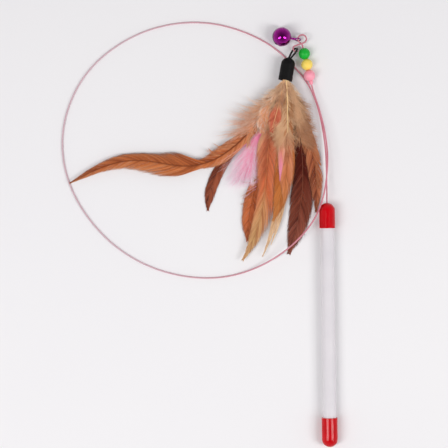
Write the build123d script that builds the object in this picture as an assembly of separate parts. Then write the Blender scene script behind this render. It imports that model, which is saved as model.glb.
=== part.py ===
from build123d import *
import math
import os

os.makedirs("parts", exist_ok=True)

# Cat teaser wand, lying coiled on a table. Millimetres, +Z up.
# The origin is on the handle's axis at the rear cap's rim. +Y runs along the handle to the wire.

# Handle: a plastic tube with a dipped vinyl cap on each end
TUBE_OD = 8.8
TUBE_WALL = 1.0
GRIP_LENGTH = 125.0
CAP_WALL = 0.8
CAP_FIT = 0.05
REAR_CAP_DEPTH = 14.2
FRONT_CAP_DEPTH = 11.5

# Wire: plastic-coated spring wire, anchored behind a plug in the tube's front end
WIRE_D = 1.0
WIRE_FIT = 0.05
PLUG_LENGTH = 14.0
PLUG_FIT = 0.04
PLUG_CHAMFER = 0.5
ANCHOR_BEND = 1.6
ANCHOR_FOOT = 2.3
ANCHOR_GAP = 0.1

# Beads: three round beads on the wire, above a crimped stop
BEAD_OD = 7.6
BEAD_CLEAR = 0.1
BEAD_LIP = 0.45
BEAD_ROUND = 0.2
BEAD_GAP = 0.1
BEAD_LIFT = 0.05
STOP_OD = 2.8
STOP_END_OD = 1.7
STOP_LENGTH = 2.4
STOP_FIT = 0.03
STEM_LEAN = 12.4
STEM_BASE = (-9.65, 80.7)
STEM_RUN = 8.5

# Wire eye above the beads. The wire's tail crosses over the neck and ends in a small hook for the lure
EYE_RADIUS = 2.75
EYE_RISE = 6.15
EYE_SIDE = 0.8
TAIL_CLEAR = 0.25
TAIL_STEP = 1.2
HOOK_RADIUS = 1.9
HOOK_PLACE = (-4.6, 0.9)
HOOK_RISE = 0.5

# Jingle bell, linked to the left of the eye
BELL_RADIUS = 6.25
BELL_SHEET = 0.5
BELT_PROUD = 0.15
BELT_FIT = 0.03
BELT_TOP = 0.35
BELT_LAP = 0.5
BELL_REACH = 11.2
BELL_LINK_ANGLE = 95.0
BELL_BEARING = 171.4
BELL_LIFT = 0.15
SLOT_WIDTH = 1.0
SLOT_HOLE = 2.2
SLOT_ANGLE = 58.0
SLOT_TURNS = (90.0, 270.0)
SHANK_WIRE = 0.8
SHANK_RADIUS = 1.6
SHANK_FLARE = 0.9
SHANK_LEG_GAP = 0.25
SHANK_BEND = 0.6
SHANK_FOOT = 2.0
SHANK_SEAT = 0.25
SHANK_TILT = -25.0
CLAPPER_D = 3.5
CLAPPER_GAP = 0.1

# Lure: a cord loop on the hook, a rubber cap and a bunch of feathers glued into it
CORD_D = 1.3
LOOP_RADIUS = 1.8
LOOP_TILT = -75.0
LOOP_REACH = 5.93
LOOP_BEARING = 231.5
LOOP_AIM = 1.2
LOOP_LEG_GAP = 0.3
KNOT_D = 3.8
KNOT_LENGTH = 2.4
KNOT_DEPTH = 2.0
KNOT_ROUND = 0.7
LURE_CAP_OD = 9.2
LURE_CAP_WALL = 0.9
LURE_CAP_DEPTH = 10.6
LURE_CAP_LIFT = 1.7
LURE_BEARING = 259.3
LOOP_HOLE_FIT = 0.25
GLUE_LENGTH = 6.5
GLUE_DEPTH = 2.5
GLUE_FIT = 0.05
QUILL_D = 0.72
QUILL_FIT = 0.06
QUILL_WALL = 0.06
QUILL_IN = 8.0
QUILL_OUT = 0.5
TIP_LIFT = 0.6
TIP_STEP = 0.8
DROOP_REACH = 105.0
RIDGE_THICK = 0.5
EDGE_THICK = 0.26

# Route of the free wire: steps right of and beyond the front cap's tip, and height above the table.
# It leaves the cap, makes one ring to the left and comes back over the cap's shoulder to the beads.
RING_ROUTE = [
    (0.1, 21.7, 4.5),
    (-0.3, 36.7, 3.5),
    (-2.4, 52.0, 2.4),
    (-5.8, 66.8, 1.3),
    (-11.2, 79.4, 0.75),
    (-19.9, 90.4, 0.7),
    (-31.3, 102.1, 0.7),
    (-45.1, 110.6, 0.7),
    (-60.5, 116.8, 0.7),
    (-76.0, 120.3, 0.7),
    (-92.5, 120.9, 0.7),
    (-109.0, 118.4, 0.7),
    (-124.5, 113.2, 0.7),
    (-138.8, 105.3, 0.7),
    (-151.6, 95.3, 0.7),
    (-162.0, 82.8, 0.7),
    (-169.5, 68.3, 0.7),
    (-174.0, 52.6, 0.7),
    (-174.9, 36.3, 0.7),
    (-172.3, 20.2, 0.7),
    (-166.2, 4.7, 0.7),
    (-157.2, -9.6, 0.7),
    (-145.2, -23.2, 0.7),
    (-131.2, -34.0, 0.7),
    (-115.6, -42.0, 0.7),
    (-99.0, -47.0, 0.7),
    (-82.0, -49.2, 0.7),
    (-65.0, -48.2, 0.7),
    (-48.5, -43.4, 1.6),
    (-33.5, -35.6, 4.0),
    (-20.6, -25.6, 7.4),
    (-9.2, -12.3, 10.9),
    (-3.0, 1.5, 11.2),
    (-0.4, 15.0, 9.8),
    (0.9, 28.5, 8.3),
    (-0.2, 43.5, 6.8),
    (-3.2, 58.6, 5.2),
]

# Feathers. Side and row are the quill's place across and up the cap's mouth, in quill steps.
# Bends and tip are steps right of and beyond the mouth, so a feather that points down has a minus second
# step. The outline gives places along the shaft, each with the half widths left and right of a shaft that
# points down.
FEATHERS = {
    "dark_feather": dict(
        row=-3, side=1.0, bends=[(13.2, -39.6), (15.8, -74.0)], tip=(2.4, -106.6),
        outline=[(0.1, 0.5, 0.5), (0.35, 5.0, 5.0), (0.55, 7.2, 7.2), (0.72, 8.4, 8.6), (0.88, 6.6, 6.2),
                 (1.0, 0.9, 0.9)],
    ),
    "small_dark_feather": dict(
        row=-3, side=-1.0, bends=[(-15.8, -35.9), (-49.0, -52.0)], tip=(-52.1, -85.6),
        outline=[(0.2, 0.5, 0.5), (0.5, 2.4, 2.4), (0.68, 3.6, 3.4), (0.8, 4.0, 3.8), (0.92, 3.0, 2.6),
                 (1.0, 0.5, 0.5)],
    ),
    "brown_feather": dict(
        row=-2, side=1.33, bends=[(14.0, -33.0), (20.0, -52.0)], tip=(17.5, -80.0),
        outline=[(0.1, 0.5, 0.5), (0.4, 5.0, 3.5), (0.6, 6.0, 3.8), (0.8, 5.0, 3.2), (0.92, 3.0, 2.0),
                 (1.0, 0.5, 0.5)],
    ),
    "rust_feather": dict(
        row=-2, side=-1.33, bends=[(-6.5, -45.9), (-27.5, -75.3)], tip=(-25.5, -105.6),
        outline=[(0.15, 0.5, 0.5), (0.5, 4.0, 4.0), (0.66, 5.4, 5.0), (0.8, 5.8, 5.2), (0.92, 4.6, 4.0),
                 (1.0, 1.2, 1.2)],
    ),
    "right_plume": dict(
        row=-1, side=1.67, bends=[(9.0, -13.1), (15.6, -29.7)], tip=(16.0, -52.0),
        outline=[(0.05, 0.5, 0.5), (0.3, 5.0, 3.4), (0.5, 8.0, 4.5), (0.75, 6.5, 4.0), (0.92, 3.4, 2.4),
                 (1.0, 0.6, 0.6)],
    ),
    "long_feather": dict(
        row=-1, side=-1.67, bends=[(-27.8, -95.2), (-96.3, -28.3)], tip=(-142.9, -66.0),
        outline=[(0.1, 0.5, 0.5), (0.22, 4.0, 4.0), (0.3, 5.4, 5.2), (0.38, 6.4, 5.2), (0.47, 3.2, 3.6),
                 (0.56, 9.2, 7.0), (0.65, 6.8, 7.6), (0.74, 3.8, 7.0), (0.83, 4.4, 4.2), (0.92, 2.2, 2.2),
                 (1.0, 0.4, 0.4)],
    ),
    "pink_marabou": dict(
        row=0, side=-1.67, bends=[(-7.1, -26.1), (-20.6, -45.8)], tip=(-28.0, -66.5),
        outline=[(0.25, 0.5, 0.5), (0.5, 2.6, 3.0), (0.7, 5.0, 6.6), (0.85, 6.0, 8.0), (0.95, 4.4, 6.0),
                 (1.0, 2.0, 2.6)],
    ),
    "amber_feather": dict(
        row=0, side=1.67, bends=[(6.6, -39.5), (3.6, -65.9)], tip=(-10.0, -96.0),
        outline=[(0.1, 0.5, 0.5), (0.4, 4.4, 5.0), (0.62, 4.6, 5.4), (0.8, 3.6, 4.0), (0.92, 2.0, 2.2),
                 (1.0, 0.4, 0.4)],
    ),
    "left_plume": dict(
        row=1, side=-1.33, bends=[(-9.0, -12.9), (-20.3, -22.7)], tip=(-28.5, -45.7),
        outline=[(0.05, 0.5, 0.5), (0.3, 5.0, 6.0), (0.5, 7.0, 9.0), (0.75, 6.0, 7.6), (0.92, 3.6, 4.0),
                 (1.0, 0.6, 0.6)],
    ),
    "split_tan_feather": dict(
        row=1, side=1.33, bends=[(3.8, -46.1), (-1.2, -82.3)], tip=(-16.2, -115.8),
        outline=[(0.1, 0.5, 0.5), (0.42, 4.4, 4.8), (0.6, 4.6, 5.0), (0.74, 3.2, 3.2), (0.88, 1.9, 1.7),
                 (1.0, 0.4, 0.4)],
    ),
    "tan_feather": dict(
        row=2, side=0.0, bends=[(-20.0, -40.0), (-5.0, -80.0)], tip=(-29.5, -118.2),
        outline=[(0.1, 0.5, 0.5), (0.35, 5.2, 5.2), (0.6, 6.2, 6.2), (0.78, 5.8, 5.6), (0.88, 4.2, 4.2),
                 (1.0, 0.6, 0.6)],
    ),
    "rust_patch_feather": dict(
        row=3, side=-1.0, bends=[(-2.2, -9.7), (-6.0, -20.8)], tip=(-9.6, -34.0),
        outline=[(0.3, 0.5, 0.5), (0.55, 2.8, 2.4), (0.75, 3.8, 3.6), (0.9, 3.2, 3.2), (1.0, 1.0, 1.0)],
    ),
    "salmon_feather": dict(
        row=3, side=1.0, bends=[(2.2, -24.0), (2.0, -50.0)], tip=(-1.5, -80.0),
        outline=[(0.1, 0.5, 0.5), (0.3, 2.0, 2.4), (0.5, 4.2, 4.8), (0.7, 5.2, 5.4), (0.86, 3.8, 4.0),
                 (1.0, 0.4, 0.4)],
    ),
}
STATIONS = [0.05, 0.12, 0.2, 0.29, 0.38, 0.47, 0.56, 0.65, 0.74, 0.83, 0.92, 0.975, 1.0]

# Sizes that follow from the ones above
wire_r = WIRE_D / 2
tube_r = TUBE_OD / 2
tube_bore_r = tube_r - TUBE_WALL
cap_bore_r = tube_r + CAP_FIT
cap_r = cap_bore_r + CAP_WALL
table_z = -cap_r
tube_front = GRIP_LENGTH + FRONT_CAP_DEPTH
cap_tip = tube_front + cap_r
bead_r = BEAD_OD / 2
bead_bore_r = wire_r + BEAD_CLEAR
bead_end_r = bead_bore_r + BEAD_LIP
bead_half = math.sqrt(bead_r**2 - bead_end_r**2)
stem_h = bead_r + BEAD_LIFT
stack_length = 6 * bead_half + 2 * BEAD_GAP
tail_rise = WIRE_D + TAIL_CLEAR
quill_step = QUILL_D + 2 * QUILL_FIT + QUILL_WALL


def put(node, shape):
    """Writes one piece under its node's name."""
    export_step(shape, f"parts/{node}.step")


def at(x, y, h):
    """A point right of and beyond the front cap's tip, at a height above the table."""
    return Vector(x, cap_tip + y, table_z + h)


def turned(*edges):
    """Turns a closed outline, radius along X and length along Y, round the Y axis."""
    return revolve(make_face(Curve() + list(edges)), axis=Axis.Y)


def ring(inner, outer, low, high):
    """A tube, or a rod if inner is 0, along the Y axis."""
    return turned(*Polyline((inner, low), (outer, low), (outer, high), (inner, high), close=True).edges())


def rod_along(path, radius):
    """A round rod along a path."""
    return sweep(Plane(origin=path @ 0, z_dir=path % 0) * Circle(radius), path=path)


def domed_cap(bore, wall, depth):
    """A cup with a round dome: its rim is at the origin and its dome points along +Y."""
    outer = bore + wall
    return turned(
        Line((bore, 0), (outer, 0)),
        Line((outer, 0), (outer, depth)),
        CenterArc((0, depth), outer, 0, 90),
        Line((0, depth + outer), (0, depth + bore)),
        CenterArc((0, depth), bore, 0, 90),
        Line((bore, depth), (bore, 0)),
    )


def smooth_route(points):
    """A wire's path with every corner rounded as wide as its shorter side allows."""
    runs = [b - a for a, b in zip(points, points[1:])]
    turns = [math.radians(a.get_angle(b)) for a, b in zip(runs, runs[1:])]
    radii = [0.45 * min(a.length, b.length) / math.tan(t / 2) for a, b, t in zip(runs, runs[1:], turns)]
    return FilletPolyline(*points, radius=radii)


def round_corner(centre, radius, angle, rise):
    """A corner of the eight-sided outline round a ring, at an angle, and a rise above the ring's level."""
    reach = radius / math.cos(math.pi / 8)
    turn = math.radians(angle)
    return Vector(centre[0] + reach * math.cos(turn), centre[1] + reach * math.sin(turn), rise)


# The handle's tube, its two caps and the plug that the wire is anchored behind
put("handle_tube", ring(tube_bore_r, tube_r, -REAR_CAP_DEPTH, tube_front))
put("rear_cap", Rot(Z=180) * domed_cap(cap_bore_r, CAP_WALL, REAR_CAP_DEPTH))
wire_hole = ring(0, wire_r + WIRE_FIT, tube_front, cap_tip + cap_r)
put("front_cap", Pos(0, GRIP_LENGTH, 0) * domed_cap(cap_bore_r, CAP_WALL, FRONT_CAP_DEPTH) - wire_hole)
plug = ring(wire_r + WIRE_FIT, tube_bore_r - PLUG_FIT, tube_front - PLUG_LENGTH, tube_front)
plug_edges = plug.edges().filter_by(GeomType.CIRCLE).sort_by(SortBy.RADIUS)[-2:]
put("anchor_plug", chamfer(plug_edges, PLUG_CHAMFER))

# The wire's anchored leg: from the cap's tip through the plug to a bent foot behind it
foot_y = tube_front - PLUG_LENGTH - ANCHOR_GAP - ANCHOR_BEND
anchor_path = FilletPolyline(
    (0, cap_tip, 0), (0, foot_y, 0), (ANCHOR_FOOT, foot_y, 0), radius=ANCHOR_BEND
)
put("wire_anchor_leg", rod_along(anchor_path, wire_r))

# The free wire, from the cap's tip round the ring to the lowest bead
stem_turn = math.radians(STEM_LEAN)
stem_up = Vector(-math.sin(stem_turn), math.cos(stem_turn), 0)
stem_right = Vector(math.cos(stem_turn), math.sin(stem_turn), 0)
stem_base = at(*STEM_BASE, stem_h)
route = [Vector(0, cap_tip, 0), Vector(0, cap_tip + STEM_RUN, 0)]
route += [at(*step) for step in RING_ROUTE]
route += [stem_base - stem_up * STEM_RUN, stem_base]
wire_path = smooth_route(route)
coated_wire = rod_along(wire_path, wire_r)
print("wire length:", round(wire_path.length, 1))
print("wire volume over section times length:",
      round(coated_wire.volume / (math.pi * wire_r**2 * wire_path.length), 4))
put("coated_wire", coated_wire)

# The wire's end: up through the beads, round the eye, over its own neck and into the hook
stem_plane = Plane(origin=stem_base, x_dir=stem_right, z_dir=(0, 0, 1))
eye_y = stack_length + EYE_RISE
eye_spot = (EYE_SIDE, eye_y)
hook_spot = (HOOK_PLACE[0], stack_length + HOOK_PLACE[1])
neck_y = eye_y + EYE_SIDE - EYE_RADIUS * math.sqrt(2)
end_route = [Vector(0, 0, 0), Vector(0, neck_y, 0)]
end_route += [round_corner(eye_spot, EYE_RADIUS, angle, 0) for angle in (202.5, 157.5, 112.5, 67.5)]
end_route += [round_corner(eye_spot, EYE_RADIUS, angle, share * tail_rise)
              for angle, share in ((22.5, 0.1), (-22.5, 0.4), (-67.5, 0.85))]
end_route.append(Vector(-TAIL_STEP, neck_y, tail_rise))
end_route += [round_corner(hook_spot, HOOK_RADIUS, angle, HOOK_RISE)
              for angle in (67.5, 112.5, 157.5, 202.5, 247.5, 292.5)]
put("wire_end_eye", rod_along(stem_plane * smooth_route(end_route), wire_r))
eye_centre = stem_base + stem_right * EYE_SIDE + stem_up * eye_y


def eye_point(angle):
    """A point on the eye's wire, at an angle left from the stem's side of the eye."""
    turn = math.radians(angle)
    return eye_centre - stem_up * (EYE_RADIUS * math.cos(turn)) - stem_right * (EYE_RADIUS * math.sin(turn))


# The three beads, from the bottom of the stack, and the stop below them
bead_arc = math.degrees(math.acos(bead_end_r / bead_r))
bead = turned(
    Line((bead_bore_r, 0), (bead_end_r, 0)),
    CenterArc((0, bead_half), bead_r, -bead_arc, 2 * bead_arc),
    Line((bead_end_r, 2 * bead_half), (bead_bore_r, 2 * bead_half)),
    Line((bead_bore_r, 2 * bead_half), (bead_bore_r, 0)),
)
bead_mouths = bead.edges().filter_by(GeomType.CIRCLE).sort_by(SortBy.RADIUS)[:2]
bead = fillet(bead_mouths, min(BEAD_ROUND, BEAD_LIP / 2))
for place, node in enumerate(["bead_pink", "bead_yellow", "bead_green"]):
    put(node, stem_plane * Pos(0, place * (2 * bead_half + BEAD_GAP), 0) * bead)
stop_bore_r = wire_r + STOP_FIT
stop = turned(*Polyline(
    (stop_bore_r, -BEAD_GAP), (STOP_OD / 2, -BEAD_GAP), (STOP_OD / 2, -BEAD_GAP - STOP_LENGTH / 3),
    (STOP_END_OD / 2, -BEAD_GAP - STOP_LENGTH), (stop_bore_r, -BEAD_GAP - STOP_LENGTH), close=True
).edges())
put("bead_stop", stem_plane * stop)

# The bell's own frame: Y points to its link on the eye, X is nearest to straight up
bell_link = eye_point(BELL_LINK_ANGLE)
bell_h = BELL_RADIUS + BELT_PROUD + BELL_LIFT
bell_drop = bell_h - stem_h
bell_span = math.sqrt(BELL_REACH**2 - bell_drop**2)
bell_turn = math.radians(BELL_BEARING)
bell_centre = bell_link + Vector(bell_span * math.cos(bell_turn), bell_span * math.sin(bell_turn), bell_drop)
bell_axis = (bell_link - bell_centre).normalized()
bell_up = (Vector(0, 0, 1) - bell_axis * bell_axis.Z).normalized()
bell_plane = Plane(origin=bell_centre, x_dir=bell_up, z_dir=bell_up.cross(bell_axis))

# Two stamped half shells: the upper one carries the shank and is rolled over the lower one's edge
bell_in = BELL_RADIUS - BELL_SHEET
lap_r = BELL_RADIUS + BELT_FIT
belt_r = BELL_RADIUS + BELT_PROUD
belt_meet = math.sqrt(BELL_RADIUS**2 - BELT_TOP**2)
belt_angle = math.degrees(math.asin(BELT_TOP / BELL_RADIUS))
upper = turned(
    Line((bell_in, 0), (lap_r, 0)),
    Line((lap_r, 0), (lap_r, -BELT_LAP)),
    Line((lap_r, -BELT_LAP), (belt_r, -BELT_LAP)),
    Line((belt_r, -BELT_LAP), (belt_r, BELT_TOP)),
    Line((belt_r, BELT_TOP), (belt_meet, BELT_TOP)),
    CenterArc((0, 0), BELL_RADIUS, belt_angle, 90 - belt_angle),
    Line((0, BELL_RADIUS), (0, bell_in)),
    CenterArc((0, 0), bell_in, 0, 90),
)
shank_x = (SHANK_LEG_GAP + SHANK_WIRE) / 2
shank_hole = ring(0, shank_x + SHANK_WIRE / 2 + WIRE_FIT, 0, 2 * BELL_RADIUS)
put("bell_upper_shell", bell_plane * (upper - shank_hole))
lower = turned(
    Line((bell_in, -BELT_FIT), (BELL_RADIUS, -BELT_FIT)),
    CenterArc((0, -BELT_FIT), BELL_RADIUS, 0, -90),
    Line((0, -BELL_RADIUS - BELT_FIT), (0, -bell_in - BELT_FIT)),
    CenterArc((0, -BELT_FIT), bell_in, 0, -90),
)
slot_turn = math.radians(SLOT_ANGLE)
slot_end = BELL_RADIUS * math.sin(slot_turn)
slot_top = -BELL_RADIUS * math.cos(slot_turn)
for turn in SLOT_TURNS:
    slit = Pos(slot_end / 2, slot_top - BELL_RADIUS, 0) * Box(slot_end, 2 * BELL_RADIUS, SLOT_WIDTH)
    hole = Rot(Z=SLOT_ANGLE) * ring(0, SLOT_HOLE / 2, -2 * BELL_RADIUS, -BELL_RADIUS / 2)
    lower -= Rot(Y=turn) * slit
    lower -= Rot(Y=turn) * hole
put("bell_lower_shell", bell_plane * lower)


def eye_bend(half_gap, radius, flare, centre):
    """A wire eye in the XY plane: up the right leg's flare, over the ring and down the left flare."""
    reach = flare + radius
    side = half_gap + flare
    low = centre - math.sqrt(reach**2 - side**2)
    turn = math.atan2(centre - low, -side)
    half_turn = (math.pi + turn) / 2
    mid = (side + flare * math.cos(half_turn), low + flare * math.sin(half_turn))
    meet = (side + flare * math.cos(turn), low + flare * math.sin(turn))
    bend = (
        ThreePointArc((half_gap, low), mid, meet)
        + ThreePointArc(meet, (0, centre + radius), (-meet[0], meet[1]))
        + ThreePointArc((-meet[0], meet[1]), (-mid[0], mid[1]), (-half_gap, low))
    )
    return bend, low


# The bell's shank: a wire staple linked round the eye, its feet splayed inside the upper shell
staple, staple_neck = eye_bend(shank_x, SHANK_RADIUS, SHANK_FLARE, BELL_REACH)
foot_reach = SHANK_FOOT + SHANK_WIRE / 2
foot_level = math.sqrt(bell_in**2 - foot_reach**2) - SHANK_WIRE / 2 - SHANK_SEAT
right_leg = FilletPolyline(
    (SHANK_FOOT, foot_level), (shank_x, foot_level), (shank_x, staple_neck), radius=SHANK_BEND
)
left_leg = FilletPolyline(
    (-shank_x, staple_neck), (-shank_x, foot_level), (-SHANK_FOOT, foot_level), radius=SHANK_BEND
)
shank = rod_along(right_leg + staple + left_leg, SHANK_WIRE / 2)
put("bell_shank", bell_plane * Rot(Y=SHANK_TILT) * shank)

# The loose ball inside, at the lowest place of its track round the bell's middle
track_r = bell_in - CLAPPER_D / 2 - CLAPPER_GAP
put("bell_clapper", Pos(bell_centre - bell_up * track_r) * Sphere(CLAPPER_D / 2))

# The lure's cap lies just above the wire that runs below it
hook_centre = stem_base + stem_right * hook_spot[0] + stem_up * hook_spot[1] + Vector(0, 0, HOOK_RISE)
loop_link = hook_centre - (stem_right + stem_up) * (HOOK_RADIUS / math.sqrt(2))
lure_cap_r = LURE_CAP_OD / 2
lure_bore_r = lure_cap_r - LURE_CAP_WALL
lure_h = lure_cap_r + LURE_CAP_LIFT
loop_turn = math.radians(LOOP_BEARING)
loop_lift = lure_h - stem_h - HOOK_RISE
loop_step = Vector(LOOP_REACH * math.cos(loop_turn), LOOP_REACH * math.sin(loop_turn), loop_lift)
lure_tip = loop_link + loop_step
lure_turn = math.radians(LURE_BEARING)
lure_out = Vector(math.cos(lure_turn), math.sin(lure_turn), 0)
lure_side = Vector(-math.sin(lure_turn), math.cos(lure_turn), 0)
mouth = lure_tip + lure_out * (LURE_CAP_DEPTH + lure_cap_r)
lure_plane = Plane(origin=mouth, x_dir=lure_side, z_dir=(0, 0, 1))

# The cord loop's own frame: Y runs from the hook to the cap, X is tilted from level
loop_aim = loop_step + lure_out * LOOP_AIM
loop_axis = loop_aim.normalized()
loop_level = loop_axis.cross(Vector(0, 0, 1)).normalized()
loop_rise = loop_level.cross(loop_axis)
loop_tilt = math.radians(LOOP_TILT)
loop_x = loop_level * math.cos(loop_tilt) + loop_rise * math.sin(loop_tilt)
loop_plane = Plane(origin=loop_link, x_dir=loop_x, z_dir=loop_x.cross(loop_axis))
leg_x = (LOOP_LEG_GAP + CORD_D) / 2
leg_end = loop_aim.length + KNOT_DEPTH
knot_top = LURE_CAP_DEPTH + lure_cap_r - KNOT_DEPTH
leg_far = math.hypot(leg_x, leg_end)
leg_angle = math.atan2(leg_end, leg_x) - math.acos(LOOP_RADIUS / leg_far)
touch_x = LOOP_RADIUS * math.cos(leg_angle)
touch_y = LOOP_RADIUS * math.sin(leg_angle)
loop_path = (
    Line((leg_x, leg_end), (touch_x, touch_y))
    + ThreePointArc((touch_x, touch_y), (0, -LOOP_RADIUS), (-touch_x, touch_y))
    + Line((-touch_x, touch_y), (-leg_x, leg_end))
)
below_knot_top = lure_plane * ring(0, LURE_CAP_OD, 0, knot_top)
put("lure_loop", rod_along(loop_plane * loop_path, CORD_D / 2) - below_knot_top)
knot = ring(0, KNOT_D / 2, knot_top - KNOT_LENGTH, knot_top)
put("loop_knot", lure_plane * fillet(knot.edges().filter_by(GeomType.CIRCLE), KNOT_ROUND))
loop_hole = loop_plane * ring(0, leg_x + CORD_D / 2 + LOOP_HOLE_FIT, 0, leg_end)
put("lure_cap", lure_plane * domed_cap(lure_bore_r, LURE_CAP_WALL, LURE_CAP_DEPTH) - loop_hole)

# The glue core that holds the quills, with a hole for each
glue = ring(0, lure_bore_r - GLUE_FIT, GLUE_DEPTH, GLUE_DEPTH + GLUE_LENGTH)
quill_hole = ring(0, QUILL_D / 2 + QUILL_FIT, 0, GLUE_DEPTH + 2 * GLUE_LENGTH)
for feather in FEATHERS.values():
    glue -= Pos(feather["side"] * quill_step, 0, feather["row"] * quill_step) * quill_hole
put("quill_glue", lure_plane * glue)


def layer_height(x, y, row):
    """A feather layer's height at a step from the mouth: each layer sinks to the pile's own level."""
    left_to_go = max(0.0, 1 - math.hypot(x, y) / DROOP_REACH)
    tip_h = TIP_LIFT + (row + 3) * TIP_STEP
    return tip_h + (lure_h + row * quill_step - tip_h) * left_to_go**1.5


def half_width(t, outline, side):
    """The vane's half width at a place along the shaft, on its left (1) or its right (2)."""
    if t <= outline[0][0]:
        return outline[0][side]
    for low, high in zip(outline, outline[1:]):
        if t <= high[0]:
            share = (t - low[0]) / (high[0] - low[0])
            return low[side] + (high[side] - low[side]) * share
    return outline[-1][side]


def curve_point(corners, t):
    """A point and a direction on the cubic curve that four corners draw."""
    s = 1 - t
    weights = [s**3, 3 * s * s * t, 3 * s * t * t, t**3]
    slopes = [-3 * s * s, 3 * s * s - 6 * s * t, 6 * s * t - 3 * t * t, 3 * t * t]
    x, y = (sum(w * corner[i] for w, corner in zip(weights, corners)) for i in (0, 1))
    dx, dy = (sum(w * corner[i] for w, corner in zip(slopes, corners)) for i in (0, 1))
    return x, y, dx / math.hypot(dx, dy), dy / math.hypot(dx, dy)


def blade_section(x, y, dx, dy, halves, heights, ridge, edge):
    """A closed six-cornered section: a thin vane on each side of the shaft's ridge."""
    corners = []
    for sign, order in ((1, (0, 1, 2)), (-1, (2, 1, 0))):
        for i in order:
            across = (-halves[0], 0, halves[1])[i]
            thick = (edge, ridge, edge)[i]
            corners.append(Vector(mouth.X + x + across * -dy, mouth.Y + y + across * dx,
                                  table_z + heights[i] + sign * thick / 2))
    return Wire.make_polygon(corners, close=True)


def make_feather(feather):
    """One feather: a straight quill in the glue, then a vane that narrows to its tip."""
    row = feather["row"]
    quill_h = lure_h + row * quill_step
    start = lure_side * (feather["side"] * quill_step)
    quill = [QUILL_D / 2] * 2
    sections = []
    for out in (-QUILL_IN, QUILL_OUT):
        foot = start + lure_out * out
        sections.append(blade_section(foot.X, foot.Y, lure_out.X, lure_out.Y, quill, [quill_h] * 3,
                                      QUILL_D, QUILL_D / 2))
    mouth_foot = start + lure_out * QUILL_OUT
    corners = [(mouth_foot.X, mouth_foot.Y), *feather["bends"], feather["tip"]]
    for t in STATIONS:
        x, y, dx, dy = curve_point(corners, t)
        halves = [max(QUILL_D / 2, half_width(t, feather["outline"], side)) for side in (1, 2)]
        edges = [(x - halves[0] * -dy, y - halves[0] * dx), (x, y), (x + halves[1] * -dy, y + halves[1] * dx)]
        heights = [layer_height(*edge, row) for edge in edges]
        sections.append(blade_section(x, y, dx, dy, halves, heights, RIDGE_THICK, EDGE_THICK))
    return Solid.make_loft(sections, ruled=True)


for node, feather in FEATHERS.items():
    put(node, make_feather(feather))
print("eye centre:", eye_centre, "bell link:", bell_link, "loop link:", loop_link)
print("bell centre:", bell_centre, "bell axis:", bell_axis)
print("stem base:", stem_base, "stem direction:", stem_up, "lure mouth:", mouth)
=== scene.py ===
import bpy
import math
import numpy as np
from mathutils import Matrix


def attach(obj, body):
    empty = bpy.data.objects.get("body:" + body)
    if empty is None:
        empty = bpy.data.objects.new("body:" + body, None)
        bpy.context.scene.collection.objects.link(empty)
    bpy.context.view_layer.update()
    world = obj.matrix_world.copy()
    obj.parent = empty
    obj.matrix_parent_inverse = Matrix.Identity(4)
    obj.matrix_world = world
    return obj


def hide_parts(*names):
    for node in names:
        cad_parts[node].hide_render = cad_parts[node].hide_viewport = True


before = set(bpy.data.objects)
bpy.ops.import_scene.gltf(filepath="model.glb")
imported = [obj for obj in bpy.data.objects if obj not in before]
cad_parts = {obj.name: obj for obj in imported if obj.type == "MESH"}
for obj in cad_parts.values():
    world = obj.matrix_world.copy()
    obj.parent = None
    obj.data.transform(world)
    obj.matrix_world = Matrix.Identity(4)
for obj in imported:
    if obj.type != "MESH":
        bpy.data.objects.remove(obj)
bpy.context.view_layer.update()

bpy.ops.object.select_all(action="DESELECT")

# Handle tube: a straight length of extruded white plastic tube, a little see-through, that the hand holds.
# The die leaves faint lines along it and handling leaves soft smudges.
TUBE_SMUDGE_SCALE = 45.0
TUBE_LINE_SCALE = (1400.0, 12.0, 1400.0)
SOFT_GLOW = (0.002, 0.002, 0.002)


def srgb(red, green, blue):
    """A colour as it is seen on a screen, 0 to 255, as the shader's linear colour."""
    shares = (channel / 255 for channel in (red, green, blue))
    return (*(s / 12.92 if s < 0.04045 else ((s + 0.055) / 1.055) ** 2.4 for s in shares), 1)


def place(tree, kind, settings=None, sockets=None):
    """Adds one shader node. A socket given another node's output is linked, any other value is set."""
    made = tree.nodes.new("ShaderNode" + kind)
    for key, value in (settings or {}).items():
        setattr(made, key, value)
    for key, value in (sockets or {}).items():
        if isinstance(value, bpy.types.NodeSocket):
            tree.links.new(value, made.inputs[key])
        else:
            made.inputs[key].default_value = value
    return made


def new_finish(name, **plain):
    """A material with one Principled shader, whose plain values are set on its own sockets."""
    made = bpy.data.materials.new(name)
    made.use_nodes = True
    shader = made.node_tree.nodes["Principled BSDF"]
    for key, value in plain.items():
        shader.inputs[key.replace("_", " ")].default_value = value
    return made, made.node_tree, shader


def mixed(tree, share, first, second):
    """One colour laid over another by a share. The node's colours are its sockets 6 and 7."""
    return place(tree, "Mix", {"data_type": "RGBA"}, {0: share, 6: first, 7: second}).outputs[2]


def spread(tree, value, low, high, to_low=0.0, to_high=1.0):
    """A value's range stretched to another range."""
    return place(tree, "MapRange", None, {"Value": value, "From Min": low, "From Max": high,
                                          "To Min": to_low, "To Max": to_high}).outputs[0]


def dress(finish, *nodes):
    """Gives CAD pieces their finish."""
    for node in nodes:
        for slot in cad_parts[node].material_slots:
            slot.material = finish


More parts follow.
